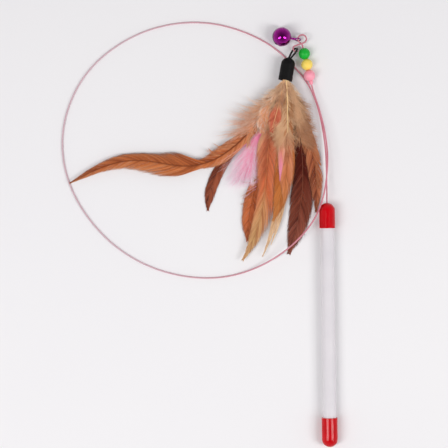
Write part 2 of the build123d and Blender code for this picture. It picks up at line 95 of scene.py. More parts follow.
def mottle_group():
    """A surface's slight unevenness: a soft change of colour and roughness, and a fine height."""
    group = bpy.data.node_groups.new("moulded_mottle", "ShaderNodeTree")
    for name, kind in (("Vector", "Vector"), ("Patch Scale", "Float"), ("Grain Scale", "Float"),
                       ("Light Colour", "Color"), ("Deep Colour", "Color"),
                       ("Low Roughness", "Float"), ("High Roughness", "Float")):
        group.interface.new_socket(name, in_out="INPUT", socket_type="NodeSocket" + kind)
    for name, kind in (("Colour", "Color"), ("Roughness", "Float"), ("Height", "Float")):
        group.interface.new_socket(name, in_out="OUTPUT", socket_type="NodeSocket" + kind)
    given = group.nodes.new("NodeGroupInput").outputs
    at = given["Vector"]
    patch = place(group, "TexNoise", None, {"Vector": at, "Scale": given["Patch Scale"], "Detail": 3.0})
    grain = place(group, "TexNoise", None, {"Vector": at, "Scale": given["Grain Scale"], "Detail": 5.0})
    share = spread(group, patch.outputs[0], 0.3, 0.7)
    both = place(group, "Math", {"operation": "MULTIPLY_ADD"}, {0: grain.outputs[0], 1: 0.4, 2: share})
    rough = spread(group, both.outputs[0], 0.1, 1.2, given["Low Roughness"], given["High Roughness"])
    put = group.nodes.new("NodeGroupOutput").inputs
    group.links.new(mixed(group, share, given["Light Colour"], given["Deep Colour"]), put["Colour"])
    group.links.new(rough, put["Roughness"])
    group.links.new(grain.outputs[0], put["Height"])
    return group


moulded_mottle = mottle_group()


def mottled(tree, light, deep, rough, patch, grain, where=None):
    """Places the mottle in a material, between two screen colours, and returns its outputs."""
    where = where or place(tree, "TexCoord").outputs["Object"]
    made = tree.nodes.new("ShaderNodeGroup")
    made.node_tree = moulded_mottle
    tree.links.new(where, made.inputs["Vector"])
    for key, value in (("Patch Scale", patch), ("Grain Scale", grain),
                       ("Light Colour", srgb(*light)), ("Deep Colour", srgb(*deep)),
                       ("Low Roughness", rough[0]), ("High Roughness", rough[1])):
        made.inputs[key].default_value = value
    return made.outputs


def bumped(tree, shader, height, strength, depth):
    """Feeds a height to the shader's normal."""
    bump = place(tree, "Bump", None, {"Height": height, "Strength": strength, "Distance": depth})
    tree.links.new(bump.outputs[0], shader.inputs["Normal"])


tube_finish, tree, shader = new_finish("tube_white_plastic", IOR=1.46, Specular_IOR_Level=0.3,
                                       Subsurface_Weight=0.12, Subsurface_Radius=SOFT_GLOW)
where = place(tree, "TexCoord").outputs["Object"]
tube = mottled(tree, light=(226, 221, 224), deep=(218, 213, 217), rough=(0.48, 0.6),
               patch=TUBE_SMUDGE_SCALE, grain=900.0, where=where)
drawn = place(tree, "Mapping", None, {"Vector": where, "Scale": TUBE_LINE_SCALE}).outputs[0]
lines = place(tree, "TexNoise", None, {"Vector": drawn, "Scale": 1.0, "Detail": 2.0}).outputs[0]
lined = mixed(tree, spread(tree, lines, 0.45, 0.75, 0.0, 0.25), tube["Colour"], srgb(208, 203, 207))
tree.links.new(lined, shader.inputs["Base Color"])
tree.links.new(tube["Roughness"], shader.inputs["Roughness"])
bumped(tree, shader, lines, strength=0.15, depth=0.0001)
dress(tube_finish, "handle_tube")

# End caps: soft red vinyl, dipped and baked on a former, pushed over the tube's ends.
# The skin is glossy with a faint orange peel and small changes of its red.


def mottled_finish(name, light, deep, rough, patch, grain, bump=0.0, depth=0.0001, **plain):
    """A finish that the mottle alone makes uneven, in colour, roughness and height."""
    made, tree, shader = new_finish(name, **plain)
    skin = mottled(tree, light, deep, rough, patch, grain)
    tree.links.new(skin["Colour"], shader.inputs["Base Color"])
    tree.links.new(skin["Roughness"], shader.inputs["Roughness"])
    if bump:
        bumped(tree, shader, skin["Height"], bump, depth)
    return made


cap_finish = mottled_finish("cap_red_vinyl", light=(204, 6, 20), deep=(186, 3, 14), rough=(0.11, 0.16),
                            patch=160.0, grain=700.0, bump=0.06, depth=0.0002, IOR=1.5,
                            Specular_IOR_Level=0.22)
dress(cap_finish, "rear_cap", "front_cap")

# Anchor plug: a moulded plug in the tube's front end, which the wire's bent foot pulls against.
# It is of plain pale plastic, pressed in, and hidden by the cap.
plug_finish = mottled_finish("plug_plain_plastic", light=(226, 222, 214), deep=(208, 204, 196),
                             rough=(0.5, 0.7), patch=120.0, grain=800.0, bump=0.2)
dress(plug_finish, "anchor_plug")

# Free wire: one length of spring wire in a pink plastic coat. It leaves the front cap's dome, makes one big
# ring to the left on the table, climbs over the cap's shoulder and runs up to the beads. Both ends go on as
# stiff pieces of the same wire: the leg in the handle, and the eye above the beads with its hooked tail.
MM = 0.001
WIRE_D = 1.0 * MM
WIRE_EXIT = (0.0, 0.14175, 0.0)
WIRE_ROUTE = [
    WIRE_EXIT,
    (0.0, 0.15025, 0.0),
    (0.0001, 0.16345, -0.00075),
    (-0.0003, 0.17845, -0.00175),
    (-0.0024, 0.19375, -0.00285),
    (-0.0058, 0.20855, -0.00395),
    (-0.0112, 0.22115, -0.0045),
    (-0.0199, 0.23215, -0.00455),
    (-0.0313, 0.24385, -0.00455),
    (-0.0451, 0.25235, -0.00455),
    (-0.0605, 0.25855, -0.00455),
    (-0.0760, 0.26205, -0.00455),
    (-0.0925, 0.26265, -0.00455),
    (-0.1090, 0.26015, -0.00455),
    (-0.1245, 0.25495, -0.00455),
    (-0.1388, 0.24705, -0.00455),
    (-0.1516, 0.23705, -0.00455),
    (-0.1620, 0.22455, -0.00455),
    (-0.1695, 0.21005, -0.00455),
    (-0.1740, 0.19435, -0.00455),
    (-0.1749, 0.17805, -0.00455),
    (-0.1723, 0.16195, -0.00455),
    (-0.1662, 0.14645, -0.00455),
    (-0.1572, 0.13215, -0.00455),
    (-0.1452, 0.11855, -0.00455),
    (-0.1312, 0.10775, -0.00455),
    (-0.1156, 0.09975, -0.00455),
    (-0.0990, 0.09475, -0.00455),
    (-0.0820, 0.09255, -0.00455),
    (-0.0650, 0.09355, -0.00455),
    (-0.0485, 0.09835, -0.00365),
    (-0.0335, 0.10615, -0.00125),
    (-0.0206, 0.11615, 0.00215),
    (-0.0092, 0.12945, 0.00565),
    (-0.0030, 0.14325, 0.00595),
    (-0.0004, 0.15675, 0.00455),
    (0.0009, 0.17025, 0.00305),
    (-0.0002, 0.18525, 0.00155),
    (-0.0032, 0.20035, -0.00005),
    (-0.007825, 0.214148, -0.0014),
    (-0.00965, 0.22245, -0.0014),
]
COAT_PALE_X = -0.13
COAT_PINK_X = -0.01


def lay_cord(name, route, diameter):
    """A smooth round cord whose spline has the route's points as its control points."""
    line = bpy.data.curves.new(name, "CURVE")
    line.dimensions = "3D"
    line.bevel_depth = diameter / 2
    line.bevel_resolution = 4
    line.resolution_u = 10
    line.use_fill_caps = True
    spline = line.splines.new("NURBS")
    spline.points.add(len(route) - 1)
    for point, spot in zip(spline.points, route):
        point.co = (*spot, 1)
    spline.order_u = 3
    spline.use_endpoint_u = True
    made = bpy.data.objects.new(name, line)
    bpy.context.scene.collection.objects.link(made)
    return made


wire_finish, tree, shader = new_finish("wire_pink_coat", IOR=1.48, Specular_IOR_Level=0.4)
where = place(tree, "TexCoord").outputs["Object"]
coat = mottled(tree, light=(212, 134, 148), deep=(194, 112, 126), rough=(0.34, 0.5), patch=90.0,
               grain=2500.0, where=where)
wire_x = place(tree, "SeparateXYZ", None, {0: where}).outputs[0]
paleness = spread(tree, wire_x, COAT_PALE_X, COAT_PINK_X, 0.85, 0.0)
tree.links.new(mixed(tree, paleness, coat["Colour"], srgb(206, 180, 188)), shader.inputs["Base Color"])
tree.links.new(coat["Roughness"], shader.inputs["Roughness"])
bumped(tree, shader, coat["Height"], strength=0.2, depth=0.00005)
dress(wire_finish, "wire_anchor_leg", "wire_end_eye")
free_wire = lay_cord("free_wire", WIRE_ROUTE, WIRE_D)
free_wire.data.materials.append(wire_finish)
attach(free_wire, "wand")
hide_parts("coated_wire")

# Beads: three round beads of tumbled glossy plastic on the single strand of wire, above a small crimped stop
# of the lowest bead's plastic. Each has a slight cloud in its colour and a faint unevenness of its gloss.
for nodes, light, deep in (
    (("bead_pink", "bead_stop"), (254, 168, 184), (248, 144, 166)),
    (("bead_yellow",), (254, 228, 118), (252, 216, 96)),
    (("bead_green",), (14, 188, 58), (3, 168, 42)),
):
    bead_finish = mottled_finish(nodes[0] + "_gloss", light, deep, rough=(0.32, 0.46), patch=260.0,
                                 grain=1500.0, bump=0.12, IOR=1.5, Specular_IOR_Level=0.35,
                                 Subsurface_Weight=0.15, Subsurface_Radius=SOFT_GLOW)
    dress(bead_finish, *nodes)

# Jingle bell: two stamped half shells rolled together at the belt, plated bright and dyed purple, with a wire
# staple through the top that hangs on the eye and a loose steel ball inside.
bell_finish = mottled_finish("bell_dyed_plating", light=(162, 8, 144), deep=(132, 3, 116), rough=(0.09, 0.16),
                             patch=240.0, grain=2200.0, bump=0.05, Metallic=1.0, Coat_Weight=0.3,
                             Coat_Roughness=0.05)
dress(bell_finish, "bell_upper_shell", "bell_lower_shell", "bell_shank")
ball_finish = mottled_finish("clapper_plain_steel", light=(190, 190, 192), deep=(160, 160, 164),
                             rough=(0.25, 0.4), patch=200.0, grain=1500.0, Metallic=1.0)
dress(ball_finish, "bell_clapper")

# Lure cap: a black rubber cap with a domed top, pushed over the bunch of quills and filled with hot glue.
# The skin is satin and finely grained, and the glue is milky and yellowish.
rubber_finish = mottled_finish("lure_cap_rubber", light=(20, 18, 19), deep=(12, 11, 12), rough=(0.45, 0.6),
                               patch=220.0, grain=1100.0, bump=0.3, IOR=1.5, Specular_IOR_Level=0.12)
dress(rubber_finish, "lure_cap")
glue_finish = mottled_finish("glue_hot_melt", light=(232, 216, 184), deep=(206, 186, 150),
                             rough=(0.35, 0.55), patch=300.0, grain=900.0, bump=0.4, depth=0.0002,
                             Subsurface_Weight=0.3)
dress(glue_finish, "quill_glue")

# Cord loop: a short length of waxed black braid, passed round the wire's hook and knotted inside the cap.
# It lies as a leaning oval, one side over the hook's wire and the other side under it. The oval's points are
# steps across the loop, steps from the hook to the cap, and lifts, in millimetres.
CORD_D = 1.3 * MM
LOOP_HOOK = np.array((-20.11, 242.34, -0.9))
LOOP_ROOT = np.array((-24.02, 236.52, 1.05))
LOOP_LEAN = math.radians(-42)
LOOP_OVAL = [
    (0.7, 8.6, 0.0), (0.75, 6.8, 0.0), (1.0, 4.6, 0.0), (1.45, 2.4, 0.0), (1.7, 0.2, -0.04),
    (1.45, -1.5, -0.04), (0.0, -1.95, 0.0), (-1.3, -1.95, 0.65), (-1.6, -0.2, 1.25), (-1.45, 2.4, 0.5),
    (-1.0, 4.6, 0.0), (-0.75, 6.8, 0.0), (-0.7, 8.6, 0.0),
]
BRAID_SCALE = 900.0
loop_down = (LOOP_ROOT - LOOP_HOOK) / np.linalg.norm(LOOP_ROOT - LOOP_HOOK)
loop_level = np.cross(loop_down, (0, 0, 1))
loop_level /= np.linalg.norm(loop_level)
loop_across = loop_level * math.cos(LOOP_LEAN) + np.cross(loop_level, loop_down) * math.sin(LOOP_LEAN)
loop_route = [(LOOP_HOOK + loop_across * side + loop_down * along + (0, 0, lift)) * MM
              for side, along, lift in LOOP_OVAL]
cord_finish, tree, shader = new_finish("cord_black_braid", Sheen_Weight=0.1, Sheen_Roughness=0.5,
                                       Specular_IOR_Level=0.3)
where = place(tree, "TexCoord").outputs["Object"]
strands = place(tree, "TexWave", {"bands_direction": "DIAGONAL"},
                {"Vector": where, "Scale": BRAID_SCALE, "Distortion": 3.0}).outputs[1]
braid = mottled(tree, light=(24, 23, 24), deep=(14, 14, 15), rough=(0.5, 0.7), patch=500.0, grain=2500.0,
                where=where)
braided = mixed(tree, spread(tree, strands, 0.2, 0.9, 0.0, 0.4), braid["Colour"], srgb(42, 40, 40))
tree.links.new(braided, shader.inputs["Base Color"])
tree.links.new(braid["Roughness"], shader.inputs["Roughness"])
bumped(tree, shader, strands, strength=0.5, depth=0.0001)
dress(cord_finish, "loop_knot")
cord_loop = lay_cord("cord_loop", loop_route, CORD_D)
cord_loop.data.materials.append(cord_finish)
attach(cord_loop, "lure")
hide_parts("lure_loop")

# Feathers: dyed hackle feathers, quills glued into the cap in layers. Each is a horny shaft with hundreds of
# flat barbs on both sides that hook together into a vane, and loose down near the root. The vanes part where
# barbs have come unhooked. Their sizes are in millimetres, from the middle of the cap's mouth.
LURE_MOUTH = (-26.6216, 222.76)
LURE_BEARING = math.radians(259.3)
TABLE_H = -5.25
LEAST_H = 0.15
LURE_H = 6.3
ROW_STEP = 0.9
TIP_LIFT = 0.6
TIP_STEP = 0.8
DROOP_REACH = 105.0
LOWEST_ROW = -3
QUILL_D = 0.72
QUILL_IN = 3.0
QUILL_OUT = 0.5
SHAFT_STEPS = 301
ROD_STATIONS = 60
ROD_SIDES = 6
BARB_STATIONS = np.linspace(0, 1, 6)
BARB_SPACING = 0.2
BARB_WIDTH = 0.4
BARB_THICK = 0.03
BARB_SWEEP = 0.25
LEAN_LIMITS = (6, 88)
VANE_ARCH = 0.5
CLUMP = 2.2
CLUMP_TURN = 1.0
CLUMP_LIFT = 0.08
CLUMP_TINT = 0.15
BARB_TINT = 0.09
SHORTEST_BARB = 0.25
SPLIT_REACH = 3.0
STRAY_SHARE = 0.04
STRAY_TURN = 5
OUTLINE_STEPS = 201
OUTLINE_BLUR = 13
DOWN_MARKS = (0.0, 0.33, 1.0)
TINY = 1e-9
lure_out = np.array((math.cos(LURE_BEARING), math.sin(LURE_BEARING)))
lure_side = np.array((-math.sin(LURE_BEARING), math.cos(LURE_BEARING)))


def layer_height(x, y, row):
    """A feather layer's height above the table, at steps from the cap's mouth."""
    left_to_go = np.maximum(0.0, 1 - np.hypot(x, y) / DROOP_REACH)
    tip_h = TIP_LIFT + (row - LOWEST_ROW) * TIP_STEP
    return tip_h + (LURE_H + row * ROW_STEP - tip_h) * left_to_go**1.5


def wander(rng, places, step, size):
    """Smooth random values along a row of places."""
    knots = np.arange(places.min() - 2 * step, places.max() + 3 * step, step)
    return np.interp(places, knots, rng.normal(0, size, len(knots)))


class Shaft:
    """A feather's shaft: a smooth curve on the table's plane, measured by its length."""

    def __init__(self, side, row, bends, tip):
        corners = np.array([lure_side * side + lure_out * QUILL_OUT, *bends, tip])
        t = np.linspace(0, 1, SHAFT_STEPS)
        top = len(corners) - 1
        pulls = [math.comb(top, i) * (1 - t) ** (top - i) * t**i for i in range(top + 1)]
        self.line = sum(np.outer(pull, corner) for pull, corner in zip(pulls, corners))
        self.run = np.concatenate([[0], np.cumsum(np.hypot(*np.diff(self.line, axis=0).T))])
        self.length = self.run[-1]
        slope = np.gradient(self.line, axis=0)
        self.ahead = slope / np.hypot(*slope.T)[:, None]
        self.row = row

    def at(self, along, across, rise=0.0):
        """Points at lengths along the shaft and distances to its right, seen from above with the tip down."""
        x, y = (np.interp(along, self.run, self.line[:, i]) for i in (0, 1))
        dx, dy = (np.interp(along, self.run, self.ahead[:, i]) for i in (0, 1))
        past = np.minimum(along, 0) + np.maximum(along - self.length, 0)
        x, y = x + dx * past, y + dy * past
        px, py = x - dy * across, y + dx * across
        height = layer_height(x, y, self.row) * 0.5 + layer_height(px, py, self.row) * 0.5
        z = np.maximum(height + rise, LEAST_H) + TABLE_H
        return np.stack([px + LURE_MOUTH[0], py + LURE_MOUTH[1], z], -1)

    def forward(self, along):
        """The shaft's level directions at lengths along it."""
        dx, dy = (np.interp(along, self.run, self.ahead[:, i]) for i in (0, 1))
        return np.stack([dx, dy, np.zeros_like(dx)], -1)


class Feather:
    """One feather: its own random draws, its horny shaft and the barbs laid on it, made into one mesh."""

    def __init__(self, shaft, seed, thick=QUILL_D, thin=0.14, rise=0.1, reach=1.0, horn=0.6):
        self.points, self.faces, self.uv, self.tint, self.horn = [], [], [], [], []
        self.count = 0
        self.rng = np.random.default_rng(seed)
        self.shaft = shaft
        self.add_rod(shaft.length * reach, thick, thin, rise, horn)

    def add(self, points, faces, uv, tint, horn):
        """Takes up points and faces, with their place on the vane, their tint and their share of horn."""
        self.points.append(points.reshape(-1, 3))
        self.faces.extend((np.asarray(f) + self.count).tolist() for f in faces)
        self.uv.append(uv.reshape(-1, 2))
        self.tint.append(tint.reshape(-1))
        self.horn.append(np.full(tint.size, float(horn)))
        self.count += points.size // 3

    def add_rod(self, end, thick, thin, rise, horn):
        """The horny shaft, a six-sided rod that tapers from inside the cap to its end."""
        along = np.linspace(-QUILL_IN, end, ROD_STATIONS)
        share = np.clip(along / self.shaft.length, 0, 1)
        radius = (thin + (thick - thin) * np.clip(1 - along / end, 0, 1) ** 0.8) / 2
        spots = self.shaft.at(along, np.zeros_like(along), rise)
        ahead = np.gradient(spots, axis=0)
        ahead /= np.linalg.norm(ahead, axis=1)[:, None]
        side = np.cross(ahead, (0, 0, 1))
        side /= np.linalg.norm(side, axis=1)[:, None]
        up = np.cross(side, ahead)
        angles = (np.arange(ROD_SIDES) * 2 * math.pi / ROD_SIDES)[None, :, None]
        rings = spots[:, None] + radius[:, None, None] * (np.cos(angles) * side[:, None]
                                                          + np.sin(angles) * up[:, None])
        points = np.concatenate([rings.reshape(-1, 3), spots[:1], spots[-1:]])
        last = (ROD_STATIONS - 1) * ROD_SIDES
        first_pole = ROD_STATIONS * ROD_SIDES
        faces = []
        for j in range(ROD_SIDES):
            k = (j + 1) % ROD_SIDES
            for ring in range(0, last, ROD_SIDES):
                faces.append((ring + j, ring + k, ring + ROD_SIDES + k, ring + ROD_SIDES + j))
            faces.append((k, j, first_pole))
            faces.append((last + j, last + k, first_pole + 1))
        v = np.concatenate([np.repeat(share, ROD_SIDES), share[:1], share[-1:]])
        self.add(points, faces, np.stack([np.zeros_like(v), v], -1), np.full(len(v), 0.5), horn)

    def add_barbs(self, spots, normals, half, thick, v, tint):
        """Flat four-sided barbs that taper to a point. spots and half are barb by station."""
        count, stations = spots.shape[:2]
        ahead = np.gradient(spots, axis=1)
        ahead /= np.maximum(np.linalg.norm(ahead, axis=2), TINY)[..., None]
        side = np.cross(normals, ahead)
        side /= np.maximum(np.linalg.norm(side, axis=2), TINY)[..., None]
        face_up = np.cross(ahead, side)
        four = np.stack([spots + side * half[..., None], spots + face_up * thick,
                         spots - side * half[..., None], spots - face_up * thick], 2)[:, :-1]
        points = np.concatenate([four.reshape(count, -1, 3), spots[:, -1:]], 1)
        sides = four.shape[2]
        last = (stations - 2) * sides
        tip = last + sides
        size = tip + 1
        walls = []
        for ring in range(0, last, sides):
            for j in range(sides):
                k = (j + 1) % sides
                walls.append((ring + j, ring + sides + j, ring + sides + k, ring + k))
        root = [(0, 1, 2, 3)]
        tips = [(last + j, tip, last + (j + 1) % sides) for j in range(sides)]
        shift = (np.arange(count) * size)[:, None, None]
        quads = (np.array(walls + root)[None] + shift).reshape(-1, 4)
        tris = (np.array(tips)[None] + shift).reshape(-1, 3)
        u = np.linspace(0, 1, stations)
        u = np.concatenate([np.repeat(u[:-1], sides), u[-1:]])
        uv = np.stack([np.broadcast_to(u, (count, size)), np.broadcast_to(v[:, None], (count, size))], -1)
        self.add(points, list(quads) + list(tris), uv, np.broadcast_to(tint[:, None], (count, size)), 0.0)

    def vane(self, outline, lean, begin, end=1.0, ragged=0.04, splits=(), tone=(0.0, 0.0), shaft=None):
        """Hooked barbs on both sides: each leans to the tip and ends on the vane's outline, but a few stray.
        The outline gives the left and right widths at shares of the shaft's length."""
        shaft = shaft or self.shaft
        rng = self.rng
        shares, *edges = np.array(outline).T
        grid = np.linspace(0, 1, OUTLINE_STEPS)
        blur = np.ones(OUTLINE_BLUR) / OUTLINE_BLUR
        u = BARB_STATIONS[None]
        for sign, edge, shade in zip((-1, 1), edges, tone):
            padded = np.pad(np.interp(grid, shares, edge), OUTLINE_BLUR // 2, "edge")
            widths = np.convolve(padded, blur, "valid")
            roots = np.arange(begin * shaft.length, end * shaft.length, BARB_SPACING)
            barbs = len(roots)
            jitter = rng.uniform(-0.3, 0.3, barbs)
            roots = roots + jitter * BARB_SPACING
            share = roots / shaft.length
            angle = np.radians(lean[0] + (lean[1] - lean[0]) * share**0.8)
            angle = angle + np.radians(wander(rng, roots, CLUMP, CLUMP_TURN))
            for place_at, split_sign, opening in splits:
                if split_sign == sign:
                    off = (roots - place_at * shaft.length) / SPLIT_REACH
                    angle = angle - np.radians(opening) * np.sign(off) * np.exp(-np.abs(off))
            stray = rng.random(barbs) < STRAY_SHARE
            angle = angle + stray * np.radians(rng.normal(0, STRAY_TURN, barbs))
            angle = np.clip(angle, *np.radians(LEAN_LIMITS))
            beyond = (grid[None] - share[:, None]) * shaft.length * np.tan(angle)[:, None] >= widths[None]
            out = np.where(beyond.any(1), widths[beyond.argmax(1)], widths[-1])
            fray = 1 - ragged * np.abs(wander(rng, roots, CLUMP * 0.8, 1.0))
            trim = rng.uniform(0.97, 1.0, barbs)
            overgrown = np.where(stray, 1.08, 1.0)
            out = np.maximum(out * fray * trim * overgrown, SHORTEST_BARB)
            most = (shaft.length - roots) * 1.02 + 0.8
            reach = np.minimum(out / np.tan(angle), most)
            along = roots[:, None] + reach[:, None] * (u * (1 - BARB_SWEEP) + BARB_SWEEP * u * u)
            across = sign * out[:, None] * (u * (1 + BARB_SWEEP) - BARB_SWEEP * u * u)
            lift = wander(rng, roots, CLUMP, CLUMP_LIFT)[:, None] * u
            crown = VANE_ARCH * (1 - u**2) * np.minimum(1, out[:, None] / 4) - VANE_ARCH * 0.5
            spots = shaft.at(along, across, crown + lift)
            normals = sign * np.cross(shaft.forward(along), np.gradient(spots, axis=1))
            normals /= np.maximum(np.linalg.norm(normals, axis=2), TINY)[..., None]
            half = BARB_WIDTH / 2 * np.maximum(np.sin(angle), 0.3)[:, None] * (1 - 0.55 * u**3)
            tint = 0.5 + shade + wander(rng, roots, CLUMP * 0.7, CLUMP_TINT) + rng.normal(0, BARB_TINT, barbs)
            self.add_barbs(spots, normals, half, BARB_THICK, share, np.clip(tint, 0, 1))

    def down(self, span, count, length, lean, rise=(0.0, 2.0), wave=0.5, width=0.1, sides=(-1, 1), taper=0.6,
             tone=0.0, scatter=8.0, curl=-12.0, tuft=6, short=0.6, flat=0.35, shaft=None):
        """Loose downy barbs: fine wavy strands in small tufts over a span of the shaft, a count to each side.
        Length and lean are given at the span's start, third and end."""
        shaft = shaft or self.shaft
        rng = self.rng
        tufts = count // tuft
        strands = tufts * tuft
        u = BARB_STATIONS[None]

        def tufted(shared, own):
            """A value for every strand: the one that its tuft shares, and a little of its own."""
            return np.repeat(shared, tuft) + rng.normal(0, own, strands)

        for sign in sides:
            part = rng.uniform(0, 1, tufts)
            angle = tufted(rng.normal(np.interp(part, DOWN_MARKS, lean), scatter), own=2.2)
            size = np.repeat(np.interp(part, DOWN_MARKS, length) * rng.uniform(short, 1.08, tufts), tuft)
            size = size * rng.uniform(0.8, 1, strands)
            bow = tufted(rng.normal(curl, 10, tufts), own=3)
            phase = tufted(rng.uniform(0, 2 * math.pi, tufts), own=0.3)[:, None]
            turns = np.repeat(rng.uniform(4, 8, tufts), tuft)[:, None]
            top = tufted(rng.uniform(*rise, tufts), own=0.15)[:, None]
            tint = tufted(rng.normal(0.5 + tone, 0.15, tufts), own=0.05)
            roots = tufted((span[0] + (span[1] - span[0]) * part) * shaft.length, own=0.3)
            bend = np.radians(angle)[:, None] + np.radians(bow)[:, None] * u
            step = np.diff(BARB_STATIONS, prepend=0)[None] * size[:, None]
            along = roots[:, None] + np.cumsum(step * np.cos(bend), 1)
            along = along + wave * np.cos(phase * 1.7 + u * turns) * u
            across = sign * np.cumsum(step * np.sin(bend), 1) + wave * np.sin(phase + u * turns) * u
            spots = shaft.at(along, across, top * np.sin(u * math.pi * 0.75))
            normals = np.broadcast_to((0.0, 0.0, 1.0), spots.shape)
            half = 0.5 * width * (1 - taper * u**2) * rng.uniform(0.7, 1.2, strands)[:, None]
            share = np.clip(roots / shaft.length, 0, 1)
            self.add_barbs(spots, normals, half, width * flat, share, np.clip(tint, 0, 1))

    def make(self, name, finish, smooth=True):
        """The finished piece, in metres. The marabou is left unsmoothed, so that its thin strands don't
        darken at their edges."""
        mesh = bpy.data.meshes.new(name)
        mesh.from_pydata((np.concatenate(self.points) * MM).tolist(), [], self.faces)
        spot_of = np.empty(len(mesh.loops), dtype=np.int32)
        mesh.loops.foreach_get("vertex_index", spot_of)
        layer = mesh.uv_layers.new(name="vane")
        layer.data.foreach_set("uv", np.concatenate(self.uv)[spot_of].ravel())
        for key, values in (("tint", self.tint), ("horn", self.horn)):
            mesh.attributes.new(key, "FLOAT", "POINT").data.foreach_set("value", np.concatenate(values))
        mesh.polygons.foreach_set("use_smooth", [smooth] * len(mesh.polygons))
        mesh.materials.append(finish)
        made = bpy.data.objects.new(name, mesh)
        bpy.context.scene.collection.objects.link(made)
        return made


STREAK_BANDS = 22.0
STREAK_HAIRS = 160.0
STREAK_OUTWARD = 1.6


def streak_group():
    """Streaks that run out along the barbs: a slow change from barb to barb and a fine one."""
    group = bpy.data.node_groups.new("barb_streaks", "ShaderNodeTree")
    for name in ("Bands", "Hairs"):
        group.interface.new_socket(name, in_out="INPUT", socket_type="NodeSocketFloat")
    for name in ("Streak", "Hair"):
        group.interface.new_socket(name, in_out="OUTPUT", socket_type="NodeSocketFloat")
    given = group.nodes.new("NodeGroupInput").outputs
    put = group.nodes.new("NodeGroupOutput").inputs
    vane = place(group, "UVMap", {"uv_map": "vane"}).outputs[0]
    for name, target in (("Bands", "Streak"), ("Hairs", "Hair")):
        scale = place(group, "CombineXYZ", None, {0: STREAK_OUTWARD, 1: given[name], 2: 1.0}).outputs[0]
        at = place(group, "VectorMath", {"operation": "MULTIPLY"}, {0: vane, 1: scale}).outputs[0]
        noise = place(group, "TexNoise", None, {"Vector": at, "Scale": 1.0, "Detail": 3.0})
        group.links.new(noise.outputs[0], put[target])
    return group


barb_streaks = streak_group()


def feather_finish(name, stops, edge, deep, quill, streak=0.3, hem=0.3, fade=(0.35, 1.0), sheen=0.06):
    """A feather's screen colours: stops along the shaft, out to the edge, and deep streaks between barbs."""
    made, tree, shader = new_finish(name, Roughness=0.6, Sheen_Weight=sheen, Sheen_Roughness=0.4, IOR=1.45,
                                    Specular_IOR_Level=0.15)
    edge, deep, quill = (srgb(*colour) for colour in (edge, deep, quill))
    vane = place(tree, "UVMap", {"uv_map": "vane"}).outputs[0]
    out, along, _ = place(tree, "SeparateXYZ", None, {0: vane}).outputs
    ramp = place(tree, "ValToRGB", None, {0: along})
    elements = ramp.color_ramp.elements
    for i, (spot, colour) in enumerate(stops):
        stop = elements[i] if i < 2 else elements.new(spot)
        stop.position = spot
        stop.color = srgb(*colour)
    streaks = tree.nodes.new("ShaderNodeGroup")
    streaks.node_tree = barb_streaks
    streaks.inputs["Bands"].default_value = STREAK_BANDS
    streaks.inputs["Hairs"].default_value = STREAK_HAIRS
    tint = place(tree, "Attribute", {"attribute_name": "tint"}).outputs["Fac"]
    hemmed = mixed(tree, spread(tree, out, fade[0], fade[1], 0.0, hem), ramp.outputs[0], edge)
    banded = mixed(tree, spread(tree, streaks.outputs["Streak"], 0.45, 0.75, 0.0, streak), hemmed, deep)
    haired = mixed(tree, spread(tree, streaks.outputs["Hair"], 0.5, 0.8, 0.0, streak * 0.5), banded, deep)
    # Low tint darkens a barb towards the deep colour and high tint pales it towards the edge colour. Mostly
    # this is each barb's random tone, but where a vane's tone is set for a fold it is painted shade and
    # painted light.
    toned = mixed(tree, spread(tree, tint, 0.08, 0.55, 0.85, 0.0), haired, deep)
    pale_barbs_and_painted_light = mixed(tree, spread(tree, tint, 0.55, 1.0, 0.0, 0.45), toned, edge)
    horn = place(tree, "Attribute", {"attribute_name": "horn"}).outputs["Fac"]
    tree.links.new(mixed(tree, horn, pale_barbs_and_painted_light, quill), shader.inputs["Base Color"])
    bumped(tree, shader, streaks.outputs["Hair"], strength=0.2, depth=0.0001)
    return made


def seat(piece, node):
    """Puts a feather on the lure in place of its CAD solid."""
    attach(piece, "lure")
    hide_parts(node)


# Dark feathers: two dyed hackles at the bottom of the bunch, glued into the cap's lowest layer. One is broad
# and maroon-brown, to the right, and its tip slips under the wire. The other is narrow and curls to the left.
dark_finish = feather_finish(
    "feather_dark_brown",
    [(0.05, (200, 158, 120)), (0.24, (108, 36, 18)), (0.5, (94, 25, 9)),
     (0.66, (140, 68, 46)), (0.85, (150, 80, 62)), (1.0, (152, 86, 70))],
    edge=(176, 112, 92), deep=(60, 10, 4), quill=(150, 92, 70), streak=0.45)
shaft = Shaft(side=0.9, row=-3, bends=[(13.2, -39.6), (15.8, -74.0)], tip=(1.2, -114.5))
dark = Feather(shaft, seed=11, thin=0.16, rise=0.15)
dark.vane([(0.15, 1.5, 1.5), (0.35, 5.0, 5.0), (0.55, 7.2, 7.2), (0.72, 8.2, 8.6), (0.86, 6.8, 7.4),
           (0.94, 4.4, 5.0), (1.0, 0.8, 0.8)], lean=(44, 16), begin=0.18, ragged=0.06, tone=(-0.06, 0.02))
dark.down(span=(0.02, 0.26), count=200, length=(3, 9, 8), lean=(20, 45, 40))
seat(dark.make("dark_hackle", dark_finish), "dark_feather")

small_finish = feather_finish(
    "feather_small_brown",
    [(0.05, (190, 148, 112)), (0.3, (150, 76, 50)), (0.7, (170, 88, 58)), (1.0, (158, 82, 56))],
    edge=(158, 94, 68), deep=(78, 30, 22), quill=(164, 104, 80))
shaft = Shaft(side=-0.9, row=-3, bends=[(-18.0, -36.0), (-52.0, -50.0)], tip=(-52.1, -85.0))
small = Feather(shaft, seed=12)
small.vane([(0.3, 1.4, 1.4), (0.5, 2.4, 2.4), (0.68, 3.6, 4.0), (0.82, 4.0, 4.6), (0.92, 3.4, 4.0),
            (0.97, 2.0, 2.4), (1.0, 0.3, 0.3)], lean=(36, 18), begin=0.28, tone=(-0.2, 0.08))
small.down(span=(0.03, 0.3), count=120, length=(3, 6, 6), lean=(20, 45, 40))
seat(small.make("small_dark_hackle", small_finish), "small_dark_feather")

